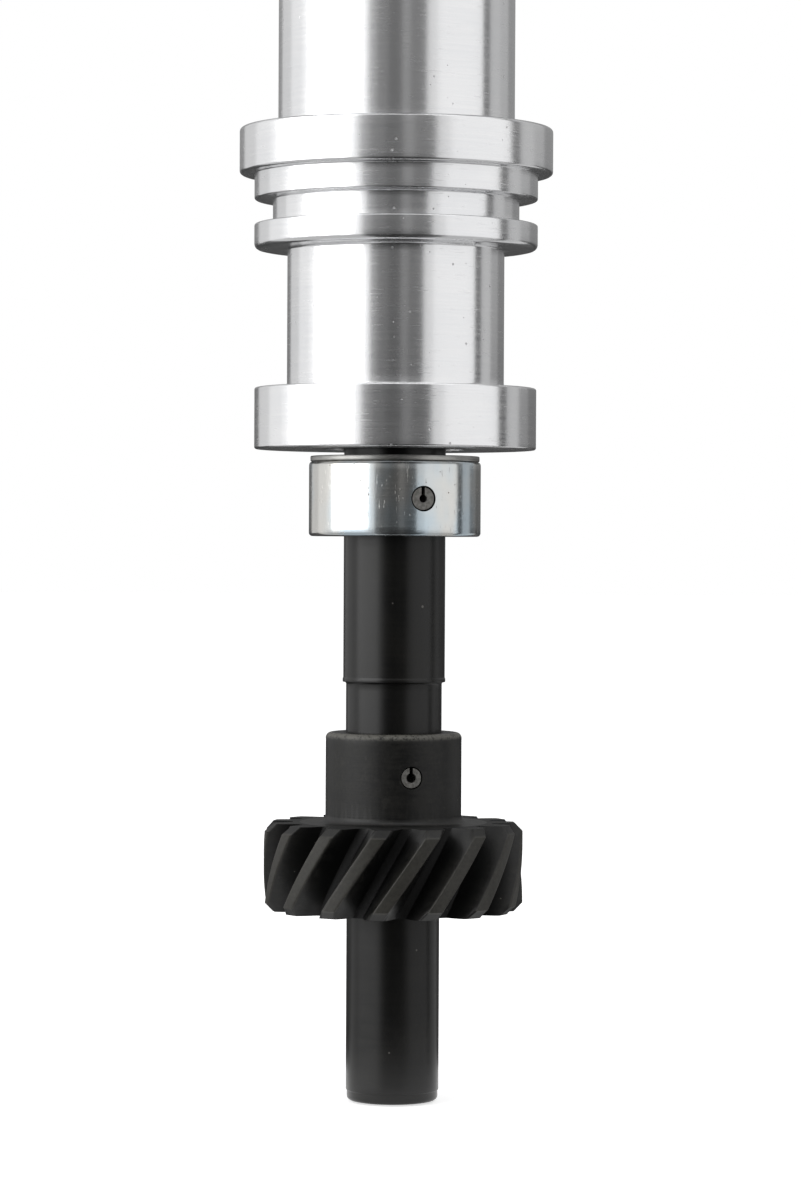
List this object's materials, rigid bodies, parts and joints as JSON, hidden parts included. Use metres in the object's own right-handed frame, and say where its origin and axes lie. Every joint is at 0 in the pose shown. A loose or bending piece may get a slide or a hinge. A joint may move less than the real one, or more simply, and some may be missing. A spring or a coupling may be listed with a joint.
{
  "type": "ignition distributor",
  "caption": "Engine ignition distributor: turned aluminium housing with mounting flange, pinned steel shaft with collar and helical drive gear, advance, trigger, rotor and cap.",
  "frame": {"origin": "on the shaft's axis, in the plane of the mounting flange's underside", "axes": "+Z along the shaft's axis, from the drive gear up to the cap; -Y is the front seen in the picture"},
  "size_m": [0.105, 0.086, 0.2828],
  "materials": {
    "billet_aluminium": "turned and polished",
    "bronze": "machined bronze",
    "bearing_steel": "ground",
    "cage_steel": "pressed",
    "spring_steel": "drawn wire",
    "black_steel": "black oxide",
    "black_gear_steel": "black oxide",
    "zinc_plated_steel": "zinc plate",
    "washer_steel": "ground",
    "pin_steel": "bright",
    "plain_steel": "machined",
    "yellow_zinc": "yellow passivated",
    "plate_aluminium": "sheet",
    "magnet_black": "sintered",
    "coil_plastic": "moulded",
    "grommet_rubber": "moulded",
    "cap_plastic": "moulded",
    "rotor_plastic": "moulded",
    "terminal_brass": "machined",
    "brush_carbon": "pressed carbon",
    "wick_felt": "felt"
  },
  "bodies": {
    "housing": {"housing": "billet_aluminium", "bowl_floor": "billet_aluminium", "bowl_wall": "billet_aluminium", "lower_bushing": "bronze", "bearing_outer_race": "bearing_steel", "bearing_snap_ring": "spring_steel", "lead_grommet": "grommet_rubber", "pickup_plate": "plate_aluminium", "plate_screws": "zinc_plated_steel", "pickup_bracket": "plain_steel", "pickup_screws": "zinc_plated_steel", "pickup_core": "plain_steel", "pickup_coil": "coil_plastic", "pickup_magnet": "magnet_black"},
    "bearing_cage": {"bearing_cage": "cage_steel", "bearing_balls": "bearing_steel"},
    "main_shaft": {"main_shaft": "black_steel", "thrust_washer": "washer_steel", "collar": "zinc_plated_steel", "collar_pin": "pin_steel", "drive_gear": "black_gear_steel", "gear_pin": "pin_steel", "bearing_inner_race": "bearing_steel", "advance_base": "yellow_zinc", "weight_pivots": "plain_steel", "weight_clips": "spring_steel", "sleeve_clip": "spring_steel", "advance_spring_left": "spring_steel", "advance_spring_right": "spring_steel"},
    "advance_sleeve": {"advance_sleeve": "plain_steel", "spring_posts": "plain_steel", "stop_pin": "plain_steel", "stop_bushing": "coil_plastic", "reluctor": "washer_steel", "oil_felt": "wick_felt", "rotor": "rotor_plastic", "rotor_contact": "terminal_brass"},
    "weight_left": {"weight_left": "plain_steel", "drive_pin_left": "bearing_steel"},
    "weight_right": {"weight_right": "plain_steel", "drive_pin_right": "bearing_steel"},
    "cap": {"cap": "cap_plastic", "cap_towers": "cap_plastic", "plug_terminals": "terminal_brass", "coil_terminal": "terminal_brass", "cap_screws": "zinc_plated_steel", "brush_spring": "spring_steel"},
    "carbon_brush": {"carbon_brush": "brush_carbon"}
  },
  "joints": [
    {"name": "shaft_turn", "type": "hinge", "parent": "housing", "child": "main_shaft", "pos_m": [0, 0, 0], "axis": [0, 0, 1], "continuous": true},
    {"name": "cage_turn", "type": "hinge", "parent": "housing", "child": "bearing_cage", "pos_m": [0, 0, 0.04485], "axis": [0, 0, 1], "continuous": true},
    {"name": "advance_turn", "type": "hinge", "parent": "main_shaft", "child": "advance_sleeve", "pos_m": [0, 0, 0.07], "axis": [0, 0, 1], "range_deg": [0, 10.5], "stiffness_Nm_per_rad": 0.05, "springref_deg": -17.19, "deforming": ["advance_spring_left", "advance_spring_right"]},
    {"name": "weight_left_swing", "type": "hinge", "parent": "main_shaft", "child": "weight_left", "pos_m": [0.021, 0, 0.06], "axis": [0, 0, 1], "range_deg": [-12.85, 0]},
    {"name": "weight_right_swing", "type": "hinge", "parent": "main_shaft", "child": "weight_right", "pos_m": [-0.021, 0, 0.06], "axis": [0, 0, 1], "range_deg": [-12.85, 0]},
    {"name": "cap_lift", "type": "slide", "parent": "housing", "child": "cap", "axis": [0, 0, 1], "range_m": [0, 0.06]},
    {"name": "brush_slide", "type": "slide", "parent": "cap", "child": "carbon_brush", "axis": [0, 0, 1], "range_m": [0, 0.0015], "stiffness_N_per_m": 100, "springref_m": -0.004, "deforming": ["brush_spring"]}
  ],
  "couplings": [
    {"joint": "cage_turn", "follows": "shaft_turn", "ratio": 0.3825},
    {"joint": "weight_left_swing", "follows": "advance_turn", "ratio": -1.2209},
    {"joint": "weight_right_swing", "follows": "advance_turn", "ratio": -1.2209}
  ]
}
